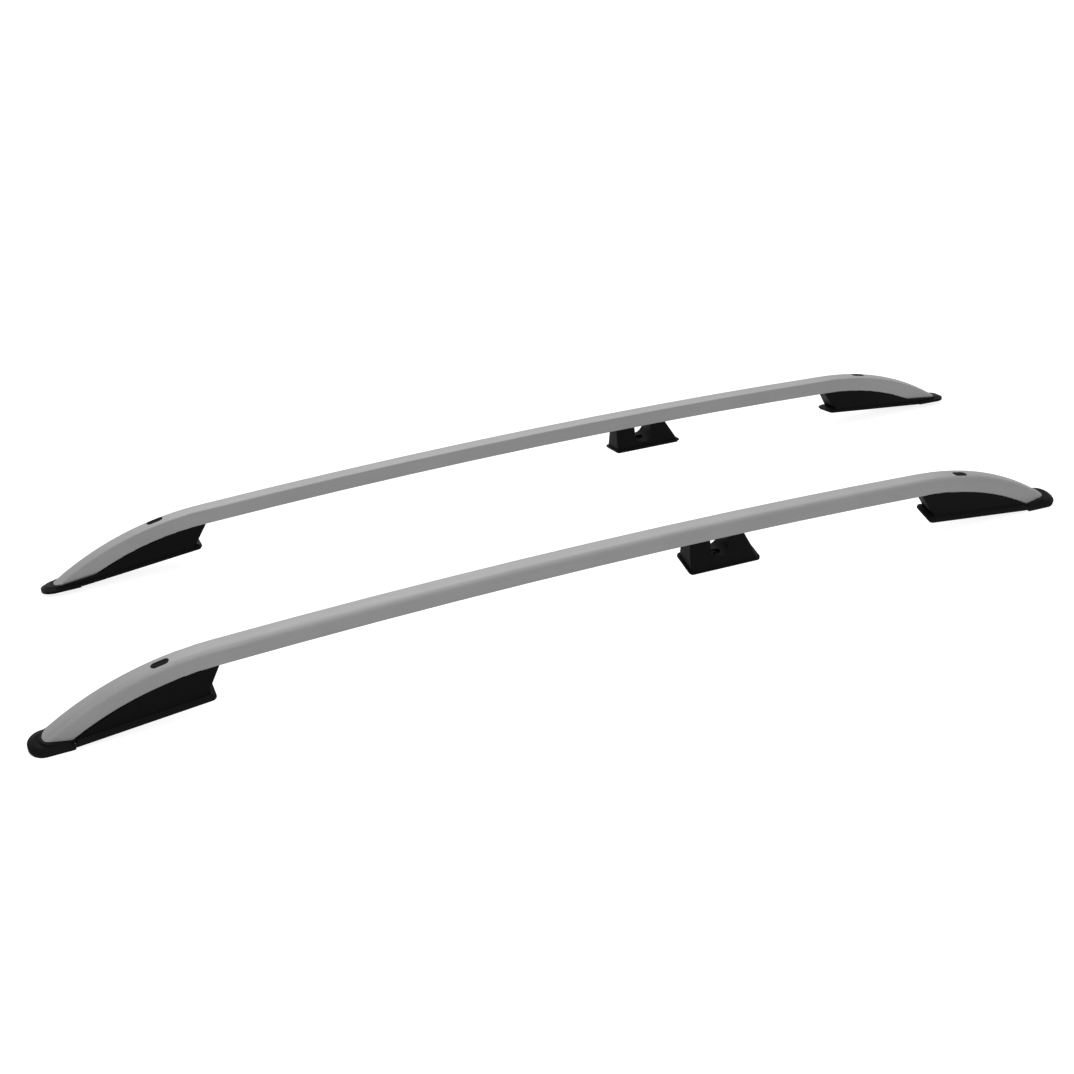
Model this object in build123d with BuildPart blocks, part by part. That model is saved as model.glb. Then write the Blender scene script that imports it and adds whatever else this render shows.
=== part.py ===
import math
import os

from build123d import *

# A pair of three-foot roof rails for a compact van. Each rail is modelled in its own frame first:
# +X along the bar, +Y to the outside of the vehicle, z = 0 at the bar's underside at mid-span.
# Millimetres and degrees.

# How the two rails lie beside each other
pair_spacing = 464.0
pair_stagger = 77.0

# Bar: the extruded section
bar_width = 36.0
bar_height = 30.0
bar_wall = 2.0
outer_lean = 6.0
outer_bulge = 0.8
top_crown = 1.0
shoulder_radius = 12.0
crest_radius = 2.6
toe_radius = 2.4

# Bar: its bend, from mid-span outwards
camber_radius = 13540.0
bend_start = 651.0
bend_radius = 496.0
bar_reach = 927.0
bar_tip_ease = 1.0
bar_overrun = 6.0

# Access slot in the top of the bar, and the plug in it
slot_setback = 192.0
slot_length = 30.0
slot_width = 14.5
plug_recess = 1.6
plug_thickness = 5.0
plug_bead = 0.7
plug_bead_height = 1.2
plug_bead_depth = 4.6

# The roof that the feet stand on
roof_pitch_end = 6.3
roof_pitch_centre = 0.7
roof_fall = 11.0
gasket_thickness = 3.0
gasket_inset = 3.0

# End foot
foot_length = 281.0
foot_rake = 27.0
foot_top_inset = 1.0
foot_side_draft = 5.0
foot_corner_radius = 5.0
rim_height = 12.5
rim_pitch = 1.0
rim_fall_tip = 5.0
rim_fall_back = 25.0
rim_back = 66.0
bar_floor = 4.0
nose_lip = 11.0
nose_rake = 45.0
nose_flat = 1.0
end_flange_outer = 30.0
end_flange_back = 269.0
flange_corner_radius = 9.0
flange_edge = 3.0
flange_height = 7.0
skirt_length = 69.0
skirt_front = 23.0
skirt_inner = 25.0
skirt_outer = 31.0
skirt_pitch = 1.5
skirt_nose_radius = 26.0
skirt_heel_radius = 3.0
skirt_edge = 5.0
skirt_rise = 5.0

# Centre foot
centre_offset = 227.0
centre_height = 47.2
centre_top_length = 105.0
centre_top_shift = -3.0
centre_base_length = 131.0
centre_base_shift = 9.5
centre_base_width = 54.0
centre_base_radius = 6.0
centre_top_radius = 4.0
centre_flange_length = 139.0
centre_flange_width = 60.0
centre_flange_radius = 8.0
centre_flange_edge = 3.0
tunnel_width = 34.0
tunnel_depth = 33.0
bolt_seat_radius = 9.0
bolt_seat_depth = 3.0

# Moulded walls under the feet
shell_wall = 3.5
roof_wall = 5.0
rib_thickness = 3.0
rib_count = 4
cavity_nose_gap = 92.0

# Steel bolt sleeves and foot screws
sleeve_radius = 5.0
sleeve_bore_radius = 3.3
boss_wall = 3.0
bolt_edge = 10.0
bolt_pass_radius = 4.5
screw_radius = 2.0
screw_head_radius = 4.0
screw_head_height = 2.8
screw_point = 3.0
screw_pad_radius = 6.0
screw_pad_height = 7.0

# Clearances
seat_gap = 0.2
rim_gap = 0.3
sleeve_gap = 0.1
screw_gap = 0.2
thread_gap = 0.05
plug_gap = 0.2
gasket_gap = 0.4

camber_slope = math.degrees(math.asin(bend_start / camber_radius))


def sine(angle):
    return math.sin(math.radians(angle))


def cosine(angle):
    return math.cos(math.radians(angle))


def tangent(angle):
    return math.tan(math.radians(angle))


def bar_point(slope, lift=0.0):
    """Point of the bar where it falls at this slope, lifted square to its underside: (x, z)."""
    fall = abs(slope)
    if fall <= camber_slope:
        x = camber_radius * sine(fall)
        z = -camber_radius * (1 - cosine(fall))
    else:
        x = bend_start + bend_radius * (sine(fall) - sine(camber_slope))
        camber_drop = camber_radius * (1 - cosine(camber_slope))
        z = -camber_drop - bend_radius * (cosine(camber_slope) - cosine(fall))
    return (math.copysign(x + lift * sine(fall), slope), z + lift * cosine(fall))


def slope_at(x, lift=0.0):
    """Slope of the bar where the line lifted this far off its underside passes x."""
    if x <= (camber_radius + lift) * sine(camber_slope):
        return math.degrees(math.asin(x / (camber_radius + lift)))
    beyond = x - bend_start + bend_radius * sine(camber_slope)
    return math.degrees(math.asin(beyond / (bend_radius + lift)))


def sloped_plane(x, z, pitch, fall):
    """Plane through (x, 0, z) that falls towards +X by pitch and towards +Y by fall."""
    return Plane(
        origin=(x, 0, z),
        x_dir=(cosine(pitch), 0, -sine(pitch)),
        z_dir=(tangent(pitch), tangent(fall), 1),
    )


def square_to_bar(slope, lift=0.0):
    """Plane at a point of the bar, x along it and z square to it."""
    x, z = bar_point(slope, lift)
    return Plane(
        origin=(x, 0, z),
        x_dir=(cosine(slope), 0, -sine(slope)),
        z_dir=(sine(slope), 0, cosine(slope)),
    )


# Places and sizes that follow from the ones above
tip_slope = slope_at(bar_reach, bar_height)
tip_z = bar_point(tip_slope, bar_height)[1]
end_slope = tip_slope + bar_overrun
end_base = sloped_plane(bar_reach, tip_z - rim_height, roof_pitch_end, roof_fall)
skirt_back = skirt_front - skirt_length
skirt_heel = end_base.from_local_coords((skirt_back, 0, 0))
skirt_base = sloped_plane(skirt_heel.X, skirt_heel.Z, skirt_pitch, roof_fall)
rear_x = bar_reach - foot_length
rear_z = bar_point(slope_at(rear_x))[1]
slot_slope = slope_at(bar_reach - slot_setback, bar_height)
slot_plane = square_to_bar(slot_slope, bar_height)
bolt_spot = end_base.to_local_coords(slot_plane.origin)
bolt_under = end_base.to_local_coords(square_to_bar(slot_slope).origin)
end_bolt = Plane(end_base.from_local_coords((bolt_spot.X, bolt_spot.Y, 0)), end_base.x_dir, end_base.z_dir)
end_flange_inner = bolt_edge - bolt_spot.Y
end_sleeve_top = bolt_under.Z - sleeve_radius * tangent(roof_fall) - bar_wall
centre_slope = slope_at(centre_offset)
centre_top_z = bar_point(centre_slope)[1]
centre_base = sloped_plane(centre_offset, centre_top_z - centre_height, roof_pitch_centre, roof_fall)
centre_sleeve_top = centre_height - tunnel_depth - bolt_seat_depth

# Screw stations along the bar: in an end foot's first and last bay, and on both sides of the centre tunnel
cavity_back = rear_x + foot_rake + shell_wall
cavity_front = bar_reach - cavity_nose_gap
rib_pitch = (cavity_front - cavity_back) / (rib_count + 1)
end_screws = [slope_at(x) for x in (cavity_back + rib_pitch / 2, cavity_front - rib_pitch / 2)]
centre_screw_reach = (tunnel_width + centre_top_length) / 4
centre_screw_x = [centre_offset + centre_top_shift + side * centre_screw_reach for side in (-1, 1)]
centre_screws = [slope_at(x) for x in centre_screw_x]


def bar_solid(grow, floor):
    """The bar's outline grown by this much, swept along its bend and cut this far above the feet's base."""
    start_x, start_z = bar_point(-end_slope)
    start_plane = Plane((start_x, 0, start_z), (0, 1, 0), (cosine(end_slope), 0, sine(end_slope)))
    middle_slope = (end_slope + camber_slope) / 2
    with BuildLine(Plane.XZ) as path:
        ThreePointArc(bar_point(-end_slope), bar_point(-middle_slope), bar_point(-camber_slope))
        ThreePointArc(bar_point(-camber_slope), bar_point(0), bar_point(camber_slope))
        ThreePointArc(bar_point(camber_slope), bar_point(middle_slope), bar_point(end_slope))
    with BuildPart() as end_cut:
        with BuildSketch(end_base.offset(floor)):
            Rectangle(foot_length, 2 * bar_width)
        extrude(amount=-foot_length)
    with BuildPart() as solid:
        with BuildSketch(start_plane) as section:
            toe_inner = (-bar_width / 2, 0)
            toe_outer = (bar_width / 2, 0)
            top_inner = (-bar_width / 2, bar_height - top_crown)
            top_outer = (bar_width / 2 - outer_lean, bar_height - top_crown)
            side_middle = ((bar_width - outer_lean) / 2 + outer_bulge, bar_height / 2)
            with BuildLine():
                Line(toe_inner, toe_outer)
                ThreePointArc(toe_outer, side_middle, top_outer)
                ThreePointArc(top_outer, (-outer_lean / 2, bar_height), top_inner)
                Line(top_inner, toe_inner)
            make_face()
            fillet(section.vertices().sort_by_distance(toe_inner)[0], toe_radius)
            fillet(section.vertices().sort_by_distance(toe_outer)[0], toe_radius)
            fillet(section.vertices().sort_by_distance(top_inner)[0], crest_radius)
            fillet(section.vertices().sort_by_distance(top_outer)[0], shoulder_radius)
            if grow:
                offset(amount=grow, mode=Mode.REPLACE)
        sweep(path=path.wire())
        with BuildSketch(Plane.XY):
            SlotOverall(2 * (bar_reach + grow), bar_width + 2 * (bar_tip_ease + grow))
        extrude(amount=bar_reach, both=True, mode=Mode.INTERSECT)
        add(end_cut.part, mode=Mode.SUBTRACT)
        add(mirror(end_cut.part, about=Plane.YZ, mode=Mode.PRIVATE), mode=Mode.SUBTRACT)
    return solid.part


def above_bar(low_slope, high_slope, drop):
    """Everything above the bar's underside, lowered by drop, between two slopes of the bar."""
    stops = [low_slope, high_slope]
    if low_slope < camber_slope < high_slope:
        stops.insert(1, camber_slope)
    low_x, low_z = bar_point(low_slope, -drop)
    high_x, high_z = bar_point(high_slope, -drop)
    with BuildPart() as block:
        with BuildSketch(Plane.XZ):
            with BuildLine():
                for low, high in zip(stops, stops[1:]):
                    middle = (low + high) / 2
                    ThreePointArc(bar_point(low, -drop), bar_point(middle, -drop), bar_point(high, -drop))
                Polyline((high_x, high_z), (high_x, bar_height), (low_x, bar_height), (low_x, low_z))
            make_face()
        extrude(amount=2 * bar_width, both=True)
    return block.part


def pegs(slopes, radius, low, high):
    """Round pegs square to the bar at these slopes, from low to high off its underside."""
    with BuildPart() as group:
        for slope in slopes:
            with BuildSketch(square_to_bar(slope, low)):
                Circle(radius)
            extrude(amount=high - low)
    return group.part


def tongue(sketch, back, front, inner, outer, back_radius, front_radius):
    """Plan outline from back to front, inner and outer to its sides, corners rounded, in the open sketch."""
    with Locations(((back + front) / 2, (outer - inner) / 2)):
        Rectangle(front - back, inner + outer)
    fillet(sketch.vertices().group_by(Axis.X)[0], back_radius)
    fillet(sketch.vertices().group_by(Axis.X)[-1], front_radius)


# Cuts at one end of the bar: the access slot, the hole for the roof bolt under it and the foot screws' holes
with BuildPart() as end_bar_cuts:
    with BuildSketch(slot_plane.offset(bar_wall)):
        SlotOverall(slot_length, slot_width)
    extrude(amount=-bar_height / 2)
    with BuildSketch(end_bolt.offset(bolt_under.Z - 2 * bar_wall)):
        Circle(bolt_pass_radius)
    extrude(amount=bar_height / 2)
    add(pegs(end_screws, screw_radius + thread_gap, -bar_wall, 2 * bar_wall))

with BuildPart() as rail_bar:
    add(bar_solid(0, bar_floor))
    add(bar_solid(-bar_wall, bar_floor - bar_wall), mode=Mode.SUBTRACT)
    add(end_bar_cuts.part, mode=Mode.SUBTRACT)
    add(mirror(end_bar_cuts.part, about=Plane.YZ, mode=Mode.PRIVATE), mode=Mode.SUBTRACT)
    add(pegs(centre_screws, screw_radius + thread_gap, -bar_wall, 2 * bar_wall), mode=Mode.SUBTRACT)

# Plug: a recessed cap with a bead that snaps under the slot's edge
with BuildPart() as slot_plug:
    with BuildSketch(slot_plane.offset(-plug_recess)):
        SlotOverall(slot_length - 2 * plug_gap, slot_width - 2 * plug_gap)
    extrude(amount=-plug_thickness)
    with BuildSketch(slot_plane.offset(-plug_bead_depth)):
        SlotOverall(slot_length + 2 * plug_bead, slot_width + 2 * plug_bead)
    extrude(amount=-plug_bead_height)

# End foot: a drafted web up to the bar, closed round the bar's tip by a rim that slopes down to the outside
web_top_width = bar_width - 2 * foot_top_inset
web_low_width = web_top_width + 2 * foot_side_draft
web_top_half = web_top_width / 2
web_low_half = web_low_width / 2
web_back = (foot_rake - foot_length) / cosine(roof_pitch_end)
flange_slope = flange_height - flange_edge
flange_draft = math.degrees(math.atan2(end_flange_outer - web_low_half, flange_slope))

# The space under the web, open at the bottom and divided by cross ribs
with BuildPart() as end_cavity:
    cavity_low_front = -cavity_nose_gap / cosine(roof_pitch_end)
    with BuildSketch(end_base.offset(-shell_wall)) as cavity_low:
        half = web_low_half - shell_wall
        tongue(cavity_low, web_back + shell_wall, cavity_low_front, half, half, shell_wall, shell_wall)
    with BuildSketch(Plane.XY.offset(rear_z)) as cavity_high:
        half = web_top_half - shell_wall
        tongue(cavity_high, rear_x + shell_wall, cavity_front, half, half, shell_wall, shell_wall)
    loft(ruled=True)
    add(above_bar(slope_at(rear_x - foot_rake), end_slope, roof_wall), mode=Mode.SUBTRACT)
    for rib in range(1, rib_count + 1):
        with BuildSketch(Plane.YZ.offset(cavity_back + rib * rib_pitch)):
            Rectangle(foot_length, foot_length)
        extrude(amount=rib_thickness / 2, both=True, mode=Mode.SUBTRACT)
    with BuildSketch(end_bolt.offset(-shell_wall)):
        Circle(sleeve_radius + sleeve_gap + boss_wall)
    extrude(amount=bolt_under.Z + shell_wall, mode=Mode.SUBTRACT)
    add(pegs(end_screws, screw_pad_radius, -screw_pad_height, 0), mode=Mode.SUBTRACT)

# The rim round the bar's tip: nearly level across at the tip, and steeper across towards the back
rim_twist = (tangent(rim_fall_back) - tangent(rim_fall_tip)) / rim_back

with BuildPart() as over_rim:
    for behind_tip in (foot_length + foot_rake, -rim_back):
        across = (tangent(rim_fall_tip) + rim_twist * behind_tip) * bar_width
        level = tip_z + behind_tip * tangent(rim_pitch)
        with BuildSketch(Plane.YZ.offset(bar_reach - behind_tip)):
            with BuildLine():
                Polyline(
                    (-bar_width, level + across),
                    (bar_width, level - across),
                    (bar_width, level + foot_length),
                    (-bar_width, level + foot_length),
                    close=True,
                )
            make_face()
    loft(ruled=True)
    add(above_bar(slope_at(rear_x - foot_rake), end_slope, rim_gap), mode=Mode.INTERSECT)

with BuildPart() as end_foot:
    with BuildSketch(end_base.offset(flange_edge)) as web_low:
        nose_radius = web_low_half - nose_flat
        tongue(web_low, web_back, nose_lip, web_low_half, web_low_half, foot_corner_radius, nose_radius)
    with BuildSketch(Plane.XY.offset(rear_z)) as web_high:
        web_front = bar_reach + nose_lip - nose_rake
        nose_radius = web_top_half - nose_flat
        tongue(web_high, rear_x, web_front, web_top_half, web_top_half, foot_corner_radius, nose_radius)
    loft(ruled=True)
    flange_halves = (end_flange_inner, end_flange_outer)
    flange_radii = (flange_corner_radius, skirt_heel_radius)
    for level, amount, taper in ((0, flange_edge, 0), (flange_edge, flange_slope, flange_draft)):
        with BuildSketch(end_base.offset(level)) as flange:
            tongue(flange, -end_flange_back, skirt_back, *flange_halves, *flange_radii)
        extrude(amount=amount, taper=taper)
    skirt_halves = (skirt_inner, skirt_outer)
    for level, amount, taper in ((0, skirt_edge, 0), (skirt_edge, skirt_rise, flange_draft)):
        with BuildSketch(skirt_base.offset(level - gasket_thickness)) as skirt:
            tongue(skirt, 0, skirt_length, *skirt_halves, skirt_heel_radius, skirt_nose_radius)
        extrude(amount=amount, taper=taper)
    add(over_rim.part, mode=Mode.SUBTRACT)
    add(bar_solid(seat_gap, bar_floor - seat_gap), mode=Mode.SUBTRACT)
    add(end_cavity.part, mode=Mode.SUBTRACT)
    with BuildSketch(end_bolt):
        Circle(sleeve_radius + sleeve_gap)
    extrude(amount=bolt_under.Z + bar_height, mode=Mode.SUBTRACT)
    screw_holes = pegs(end_screws, screw_radius + screw_gap, -2 * screw_pad_height, bar_height / 2)
    add(screw_holes, mode=Mode.SUBTRACT)

with BuildPart() as end_gasket:
    with BuildSketch(end_base) as pad:
        tongue(
            pad,
            gasket_inset - end_flange_back,
            skirt_back - gasket_gap,
            end_flange_inner - gasket_inset,
            end_flange_outer - gasket_inset,
            flange_corner_radius - gasket_inset,
            skirt_heel_radius,
        )
        with Locations((bolt_spot.X, bolt_spot.Y)):
            Circle(sleeve_radius + sleeve_gap, mode=Mode.SUBTRACT)
    extrude(amount=-gasket_thickness)

with BuildPart() as end_sleeve:
    with BuildSketch(end_bolt.offset(-gasket_thickness)):
        Circle(sleeve_radius)
        Circle(sleeve_bore_radius, mode=Mode.SUBTRACT)
    extrude(amount=end_sleeve_top + gasket_thickness)


def foot_screws(slopes):
    """Pan-head screws up through a foot's roof into the bar's underside."""
    with BuildPart() as screws:
        add(pegs(slopes, screw_head_radius, -screw_pad_height - screw_head_height, -screw_pad_height))
        add(pegs(slopes, screw_radius, -screw_pad_height, bar_wall + screw_point))
    return screws.part


# Centre foot: a drafted block on a thin flange, with a spanner's tunnel through it above the roof bolt
centre_end_slopes = [slope_at(centre_offset + side * centre_flange_length) for side in (-1, 1)]
centre_top = Plane((centre_offset, 0, centre_top_z + bar_wall))
pocket_back = tunnel_width / 2 + shell_wall

with BuildPart() as centre_pockets:
    for side in (-1, 1):
        low_reach = centre_base_length / 2 + side * centre_base_shift - shell_wall
        high_reach = centre_top_length / 2 + side * centre_top_shift - shell_wall
        with BuildSketch(centre_base.offset(-shell_wall)):
            with Locations((side * (pocket_back + low_reach) / 2, 0)):
                RectangleRounded(low_reach - pocket_back, centre_base_width - 2 * shell_wall, shell_wall)
        with BuildSketch(centre_top):
            with Locations((side * (pocket_back + high_reach) / 2, 0)):
                RectangleRounded(high_reach - pocket_back, web_top_width - 2 * shell_wall, shell_wall)
        loft(ruled=True)
    add(above_bar(*centre_end_slopes, roof_wall), mode=Mode.SUBTRACT)
    add(pegs(centre_screws, screw_pad_radius, -screw_pad_height, 0), mode=Mode.SUBTRACT)

with BuildPart() as centre_foot:
    with BuildSketch(centre_base):
        with Locations((centre_base_shift, 0)):
            RectangleRounded(centre_flange_length, centre_flange_width, centre_flange_radius)
    extrude(amount=centre_flange_edge)
    with BuildSketch(centre_base.offset(centre_flange_edge)):
        with Locations((centre_base_shift, 0)):
            RectangleRounded(centre_base_length, centre_base_width, centre_base_radius)
    with BuildSketch(centre_top):
        with Locations((centre_top_shift, 0)):
            RectangleRounded(centre_top_length, web_top_width, centre_top_radius)
    loft(ruled=True)
    add(above_bar(*centre_end_slopes, seat_gap), mode=Mode.SUBTRACT)
    with BuildSketch(Plane.XZ):
        with Locations((centre_offset, centre_top_z - tunnel_depth + tunnel_width / 2)):
            Circle(tunnel_width / 2)
            Rectangle(tunnel_width, centre_height, align=(Align.CENTER, Align.MIN))
    extrude(amount=centre_flange_width, both=True, mode=Mode.SUBTRACT)
    add(centre_pockets.part, mode=Mode.SUBTRACT)
    with BuildSketch(centre_base.offset(centre_sleeve_top)):
        Circle(bolt_seat_radius)
    extrude(amount=tunnel_width / 2, mode=Mode.SUBTRACT)
    with BuildSketch(centre_base):
        Circle(sleeve_radius + sleeve_gap)
    extrude(amount=centre_height / 2, mode=Mode.SUBTRACT)
    screw_holes = pegs(centre_screws, screw_radius + screw_gap, -2 * screw_pad_height, bar_height / 2)
    add(screw_holes, mode=Mode.SUBTRACT)

with BuildPart() as centre_gasket:
    with BuildSketch(centre_base):
        with Locations((centre_base_shift, 0)):
            RectangleRounded(
                centre_flange_length - 2 * gasket_inset,
                centre_flange_width - 2 * gasket_inset,
                centre_flange_radius - gasket_inset,
            )
        Circle(sleeve_radius + sleeve_gap, mode=Mode.SUBTRACT)
    extrude(amount=-gasket_thickness)

with BuildPart() as centre_sleeve:
    with BuildSketch(centre_base.offset(-gasket_thickness)):
        Circle(sleeve_radius)
        Circle(sleeve_bore_radius, mode=Mode.SUBTRACT)
    extrude(amount=centre_sleeve_top + gasket_thickness)

# Both rails stand on the lowest edge of their end feet
ground = end_foot.part.bounding_box().min.Z


def write_piece(shape, label, side, end=1):
    """Turn a piece to its side and end of the pair, stand it on the ground and write it."""
    if end < 0:
        shape = mirror(shape, about=Plane.YZ)
    if side < 0:
        shape = mirror(shape, about=Plane.XZ)
    with BuildPart() as piece:
        with Locations((side * pair_stagger / 2, side * pair_spacing / 2, -ground)):
            add(shape)
    piece.part.label = label
    export_step(piece.part, f"parts/{label}.step")


os.makedirs("parts", exist_ok=True)
end_pieces = {
    "foot": end_foot.part,
    "gasket": end_gasket.part,
    "bolt_sleeve": end_sleeve.part,
    "foot_screws": foot_screws(end_screws),
    "slot_plug": slot_plug.part,
}
centre_pieces = {
    "foot": centre_foot.part,
    "gasket": centre_gasket.part,
    "bolt_sleeve": centre_sleeve.part,
    "foot_screws": foot_screws(centre_screws),
}
for side_name, side in (("left", -1), ("right", 1)):
    write_piece(rail_bar.part, f"{side_name}_rail_bar", side)
    for piece_name, shape in end_pieces.items():
        write_piece(shape, f"{side_name}_front_{piece_name}", side, end=-1)
        write_piece(shape, f"{side_name}_rear_{piece_name}", side)
    for piece_name, shape in centre_pieces.items():
        write_piece(shape, f"{side_name}_centre_{piece_name}", side)
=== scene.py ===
import math

import bmesh
import bpy
from mathutils import Matrix, Vector


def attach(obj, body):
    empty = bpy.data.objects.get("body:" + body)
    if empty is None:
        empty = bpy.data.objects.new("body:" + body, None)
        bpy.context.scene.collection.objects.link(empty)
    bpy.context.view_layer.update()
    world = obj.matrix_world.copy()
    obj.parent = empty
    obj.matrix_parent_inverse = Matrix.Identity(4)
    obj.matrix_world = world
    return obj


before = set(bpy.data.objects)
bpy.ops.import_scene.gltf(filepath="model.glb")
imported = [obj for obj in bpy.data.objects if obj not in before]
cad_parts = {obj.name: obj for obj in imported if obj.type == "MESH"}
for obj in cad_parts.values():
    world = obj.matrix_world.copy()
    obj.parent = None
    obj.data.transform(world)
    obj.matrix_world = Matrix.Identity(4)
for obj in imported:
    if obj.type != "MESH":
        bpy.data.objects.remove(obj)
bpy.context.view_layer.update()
print("frame loaded:", len(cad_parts), "pieces")


def linearColour(hexColour):  # "b4b4b6" as picked on screen, to the linear numbers a shader wants
    channels = [int(hexColour[i:i + 2], 16) / 255 for i in (0, 2, 4)]
    return [c / 12.92 if c <= 0.04045 else ((c + 0.055) / 1.055) ** 2.4 for c in channels] + [1.0]


def addNode(tree, kind, settings=None, inputs=None):
    node = tree.nodes.new(kind)
    for name, value in (settings or {}).items():
        setattr(node, name, value)
    for socket, value in (inputs or {}).items():
        if isinstance(value, bpy.types.NodeSocket):
            tree.links.new(value, node.inputs[socket])
        else:
            node.inputs[socket].default_value = value
    return node


def emptyTree(owner):  # a material's or a world's own nodes, cleared
    owner.use_nodes = True
    owner.node_tree.nodes.clear()
    return owner.node_tree


def perMetre(sizeMm):  # texture scale that gives features of about this size
    return 1000 / sizeMm


surfaceNoise = {"driftDetail": 2.0, "grainDetail": 3.0, "dentStrength": 0.35}  # shared by all the finishes


def surfaceMaterial(name, look):  # a slow drift of shade, and a fine grain that roughens and dents the surface
    material = bpy.data.materials.new(name)
    tree = emptyTree(material)
    coords = addNode(tree, "ShaderNodeTexCoord")
    drift = addNode(tree, "ShaderNodeTexNoise", inputs={
        "Vector": coords.outputs["Object"], "Scale": perMetre(look["driftMm"]),
        "Detail": surfaceNoise["driftDetail"]})
    shade = addNode(tree, "ShaderNodeMix", {"data_type": "RGBA"}, {  # 6 and 7 are its two colours
        0: drift.outputs["Fac"], 6: linearColour(look["dark"]), 7: linearColour(look["light"])})
    alongRail = addNode(tree, "ShaderNodeMapping", inputs={
        "Vector": coords.outputs["Object"], "Scale": (1 / look["grainRun"], 1, 1)})
    grain = addNode(tree, "ShaderNodeTexNoise", inputs={
        "Vector": alongRail.outputs["Vector"], "Scale": perMetre(look["grainMm"]),
        "Detail": surfaceNoise["grainDetail"]})
    roughness = addNode(tree, "ShaderNodeMapRange", inputs={
        "Value": grain.outputs["Fac"],
        "To Min": look["roughness"] - look["spread"],
        "To Max": look["roughness"] + look["spread"]})
    dents = addNode(tree, "ShaderNodeBump", inputs={
        "Height": grain.outputs["Fac"], "Strength": surfaceNoise["dentStrength"],
        "Distance": look["grainDepthMm"] / 1000})
    surface = addNode(tree, "ShaderNodeBsdfPrincipled", inputs={
        "Base Color": shade.outputs[2], "Roughness": roughness.outputs["Result"],
        "Normal": dents.outputs["Normal"], **look["shader"]})
    addNode(tree, "ShaderNodeOutputMaterial", inputs={"Surface": surface.outputs["BSDF"]})
    return material


# anodised aluminium: an extrusion etched before anodising, so an even matt silver with faint draw lines along it
barLook = {
    "dark": "838383", "light": "8b8b8b", "driftMm": 90,
    "roughness": 0.6, "spread": 0.06,
    "grainMm": 2.5, "grainRun": 100, "grainDepthMm": 0.02,  # real lines are 0.3 mm apart, drawn wider so they show
    "shader": {"Metallic": 1.0},
}
anodisedAluminium = surfaceMaterial("anodisedAluminium", barLook)

# glass-filled nylon: moulded in a spark-eroded tool, so black, with an even grain that leaves hardly any gloss
footLook = {
    "dark": "0a0a0a", "light": "0e0e0e", "driftMm": 35,
    "roughness": 0.55, "spread": 0.05,
    "grainMm": 1.6, "grainRun": 1, "grainDepthMm": 0.05,  # real grain is 0.3 mm, drawn coarser so it shows
    "shader": {"IOR": 1.5, "Specular IOR Level": 0.05},
}
blackNylon = surfaceMaterial("glassFilledNylon", footLook)

# ABS: the slot caps are a small matt moulding with a fine grain, coloured a shade greyer than the feet as a painted
# sheen for the light they catch at a grazing angle
plugSheenLook = {
    "dark": "1a1a1a", "light": "1f1f1f", "driftMm": 12,
    "roughness": 0.7, "spread": 0.04,
    "grainMm": 0.8, "grainRun": 1, "grainDepthMm": 0.02,
    "shader": {"IOR": 1.53, "Specular IOR Level": 0.02},
}
absWithPaintedSheen = surfaceMaterial("mattAbs", plugSheenLook)

# EPDM rubber: cut from calendered sheet, dull, with the faint grey bloom that rubber gets
padLook = {
    "dark": "101010", "light": "1c1c1c", "driftMm": 25,
    "roughness": 0.85, "spread": 0.08,
    "grainMm": 1.0, "grainRun": 1, "grainDepthMm": 0.06,
    "shader": {"IOR": 1.52, "Specular IOR Level": 0.2},
}
epdmRubber = surfaceMaterial("epdmRubber", padLook)

# zinc-plated steel: barrel plated, so bright but a little cloudy
screwLook = {
    "dark": "aeafb0", "light": "c2c3c4", "driftMm": 4,
    "roughness": 0.36, "spread": 0.08,
    "grainMm": 3, "grainRun": 1, "grainDepthMm": 0.01,
    "shader": {"Metallic": 1.0},
}
zincPlatedSteel = surfaceMaterial("zincPlatedSteel", screwLook)

# zinc-plated steel darkened to a soft dark grey: painted shade, so the sleeve stays as dark as the shade inside the
# foot
sleeveShadeLook = {
    "dark": "232324", "light": "29292a", "driftMm": 4,
    "roughness": 0.5, "spread": 0.06,
    "grainMm": 3, "grainRun": 1, "grainDepthMm": 0.01,
    "shader": {"Metallic": 1.0},
}
shadeDarkSleeveSteel = surfaceMaterial("shadeDarkSleeveSteel", sleeveShadeLook)

finishByPiece = {  # last words of a piece's name, its material and the record's slot
    "rail_bar": (anodisedAluminium, "bar_aluminium"),
    "foot": (blackNylon, "foot_plastic"),
    "slot_plug": (absWithPaintedSheen, "plug_plastic"),
    "gasket": (epdmRubber, "pad_rubber"),
    "bolt_sleeve": (shadeDarkSleeveSteel, "sleeve_steel"),
    "foot_screws": (zincPlatedSteel, "screw_steel"),
}
for name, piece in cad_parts.items():
    for ending, (material, slotName) in finishByPiece.items():
        if name.endswith(ending):
            piece.data.materials.clear()
            piece.data.materials.append(material)
print("materials set on", len(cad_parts), "pieces")

# corner web: fills the notch between an end foot's nose skirt and its flange
# in metres, given for the rear end of the right rail and mirrored to the other three
cornerWeb = {
    "corner": (0.880653, 0.261455, 0.004371), "stagger": 0.0385,  # the rails lie this far either way along X
    "along": (0.993961, 0.0, -0.109734),
    "out": (-0.020816, 0.981842, -0.188553),
    "up": (0.107742, 0.189698, 0.975913),
    # out and up, with the flange's own straight edge and slope
    "section": ((-0.004, 0.0), (0.0, 0.0), (0.0, 0.003), (-0.003, 0.0045), (-0.004, 0.0045)),
    "start": -0.003, "width": 0.0066, "rounding": 0.0003, "roundSteps": 2,
}
tilt = Matrix((cornerWeb["along"], cornerWeb["out"], cornerWeb["up"])).transposed().to_4x4()
footEnds = {  # signs of X and Y
    "right_rear": (1, 1), "right_front": (-1, 1), "left_rear": (1, -1), "left_front": (-1, -1),
}
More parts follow.
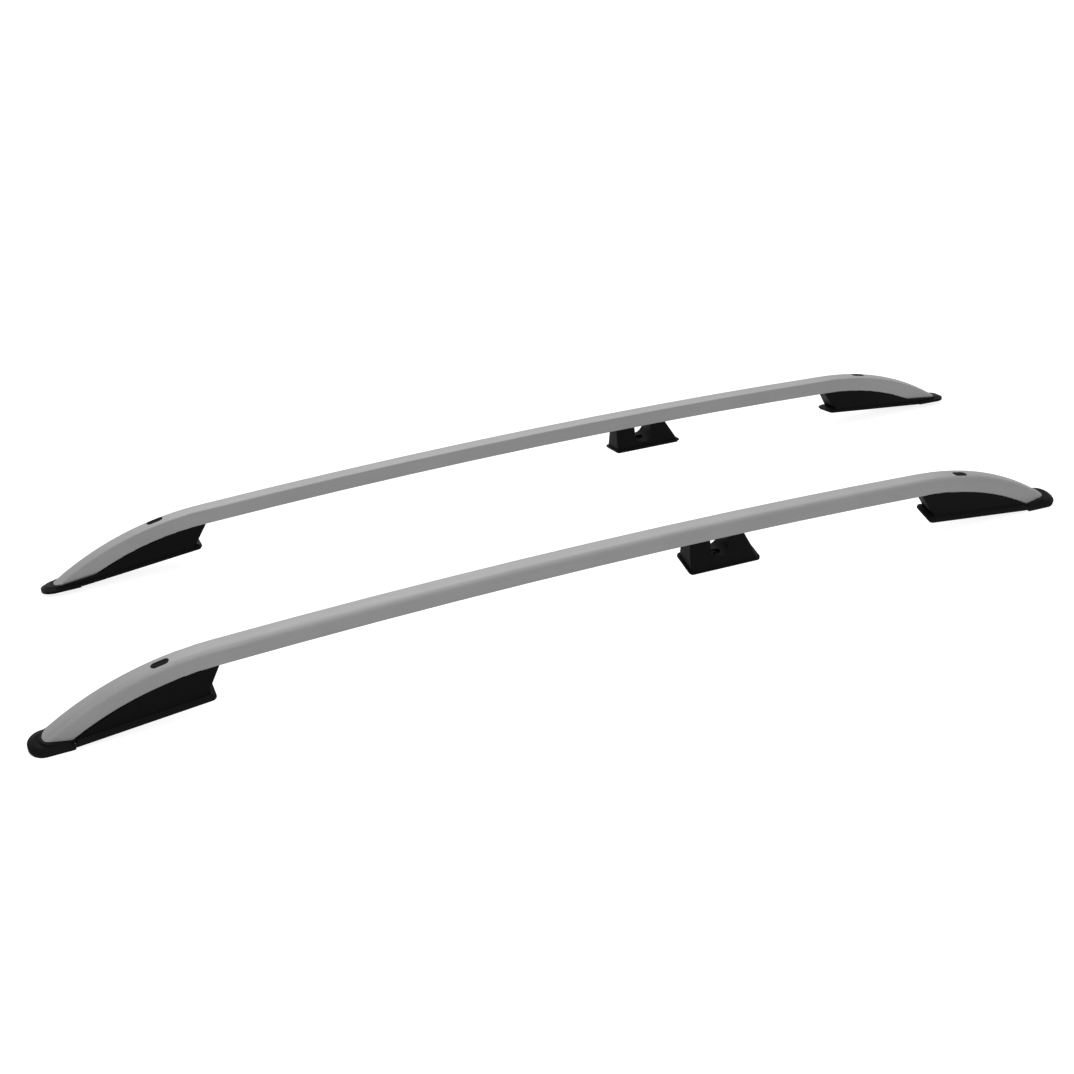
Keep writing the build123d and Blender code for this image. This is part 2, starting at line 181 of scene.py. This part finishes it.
for footName, (end, side) in footEnds.items():
    webMesh = bmesh.new()
    outline = webMesh.faces.new([webMesh.verts.new((cornerWeb["start"], y, z)) for y, z in cornerWeb["section"]])
    grown = bmesh.ops.extrude_face_region(webMesh, geom=[outline])["geom"]
    farVerts = [item for item in grown if isinstance(item, bmesh.types.BMVert)]
    bmesh.ops.translate(webMesh, vec=(cornerWeb["width"], 0, 0), verts=farVerts)
    bmesh.ops.bevel(webMesh, geom=webMesh.edges[:], affect="EDGES", offset=cornerWeb["rounding"],
                    segments=cornerWeb["roundSteps"], profile=0.5, material=-1)
    handed = Matrix.Diagonal((end, side, 1, 1))
    place = Matrix.Translation((side * cornerWeb["stagger"], 0, 0)) @ handed @ Matrix.Translation(cornerWeb["corner"])
    bmesh.ops.transform(webMesh, matrix=place @ tilt, verts=webMesh.verts)
    bmesh.ops.recalc_face_normals(webMesh, faces=webMesh.faces)
    webData = bpy.data.meshes.new(footName + "_corner_web")
    webMesh.to_mesh(webData)
    webMesh.free()
    webData.materials.append(blackNylon)
    web = bpy.data.objects.new(footName + "_corner_web", webData)
    bpy.context.scene.collection.objects.link(web)
    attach(web, "root")
print("corner webs added on", len(footEnds), "end feet")


def seenDirectly(tree):  # 1 for what the camera sees, by itself or in a reflection, and 0 for light that bounces on
    lightPath = addNode(tree, "ShaderNodeLightPath")
    reflected = addNode(tree, "ShaderNodeMath", {"operation": "MAXIMUM"}, {
        0: lightPath.outputs["Is Camera Ray"], 1: lightPath.outputs["Is Glossy Ray"]})
    seen = addNode(tree, "ShaderNodeMath", {"operation": "MAXIMUM"}, {
        0: reflected.outputs["Value"], 1: lightPath.outputs["Is Transmission Ray"]})
    return seen.outputs["Value"]


# floor: a pale sweep the rails stand on, white to the camera and in reflections, still taking their shadow
floorLook = {"size": 30, "colour": "a8a8a8", "glow": 0.86}
sweep = bpy.data.materials.new("paleSweep")
tree = emptyTree(sweep)
glowStrength = addNode(tree, "ShaderNodeMath", {"operation": "MULTIPLY"}, {
    0: seenDirectly(tree), 1: floorLook["glow"]})
glow = addNode(tree, "ShaderNodeEmission", inputs={"Color": (1, 1, 1, 1), "Strength": glowStrength.outputs["Value"]})
matt = addNode(tree, "ShaderNodeBsdfDiffuse", inputs={"Color": linearColour(floorLook["colour"])})
both = addNode(tree, "ShaderNodeAddShader", inputs={0: matt.outputs["BSDF"], 1: glow.outputs["Emission"]})
addNode(tree, "ShaderNodeOutputMaterial", inputs={"Surface": both.outputs["Shader"]})
floorMesh = bmesh.new()
bmesh.ops.create_grid(floorMesh, x_segments=1, y_segments=1, size=floorLook["size"] / 2)
floorData = bpy.data.meshes.new("floor")
floorMesh.to_mesh(floorData)
floorMesh.free()
floorData.materials.append(sweep)
floor = bpy.data.objects.new("floor", floorData)
bpy.context.scene.collection.objects.link(floor)

# studio: a white room for the camera and reflections, a dimmer even light for everything else
roomLook = {"seen": 1.0, "fill": 0.35}
room = bpy.data.worlds.new("studioRoom")
tree = emptyTree(room)
level = addNode(tree, "ShaderNodeMapRange", inputs={
    "Value": seenDirectly(tree), "To Min": roomLook["fill"], "To Max": roomLook["seen"]})
white = addNode(tree, "ShaderNodeBackground", inputs={"Color": (1, 1, 1, 1), "Strength": level.outputs["Result"]})
addNode(tree, "ShaderNodeOutputWorld", inputs={"Surface": white.outputs["Background"]})
bpy.context.scene.world = room

lampAim = Vector((0.0, 0.0, 0.1))  # the middle of the pair
softBoxes = {  # where each lamp hangs, in metres, its size and its power in watts
    "overheadBox": {"at": (0.4, 1.1, 2.75), "size": (4.5, 4.2), "power": 95},  # bars' tops and shoulders
    "frontBox": {"at": (-0.9, -2.1, 2.4), "size": (4.0, 2.2), "power": 30},  # shoulders and sides
    "backBox": {"at": (-0.6, 3.4, 1.5), "size": (6.5, 1.6), "power": 21},  # tops of the bent ends
}
for name, box in softBoxes.items():
    lamp = bpy.data.lights.new(name, "AREA")
    lamp.shape = "RECTANGLE"
    lamp.size, lamp.size_y = box["size"]
    lamp.energy = box["power"]
    lampObject = bpy.data.objects.new(name, lamp)
    lampObject.location = box["at"]
    lampObject.rotation_euler = (lampAim - Vector(box["at"])).to_track_quat("-Z", "Y").to_euler()
    bpy.context.scene.collection.objects.link(lampObject)
print("floor, room and", len(softBoxes), "lamps placed")

# camera: the photograph's own standpoint, in metres, with its angles in radians
cameraView = {
    "at": (-0.9609, -2.3147, 1.4391), "yaw": 0.3745, "pitch": 0.5159, "roll": -0.0333,
    "lens": 52.39, "sensor": 36,  # millimetres
}
yaw, pitch, roll = cameraView["yaw"], cameraView["pitch"], cameraView["roll"]
ahead = Vector((math.sin(yaw), math.cos(yaw), 0))
sideways = Vector((math.cos(yaw), -math.sin(yaw), 0))
up = Vector((0, 0, 1))
lookAlong = ahead * math.cos(pitch) - up * math.sin(pitch)
tiltedUp = up * math.cos(pitch) + ahead * math.sin(pitch)
right = sideways * math.cos(roll) + tiltedUp * math.sin(roll)
top = tiltedUp * math.cos(roll) - sideways * math.sin(roll)
camera = bpy.data.cameras.new("camera")
camera.sensor_width = cameraView["sensor"]
camera.lens = cameraView["lens"]
cameraObject = bpy.data.objects.new("camera", camera)
turn = Matrix((right, top, -lookAlong)).transposed().to_4x4()
cameraObject.matrix_world = Matrix.Translation(cameraView["at"]) @ turn
bpy.context.scene.collection.objects.link(cameraObject)
bpy.context.scene.camera = cameraObject
bpy.context.scene.view_settings.view_transform = "Standard"
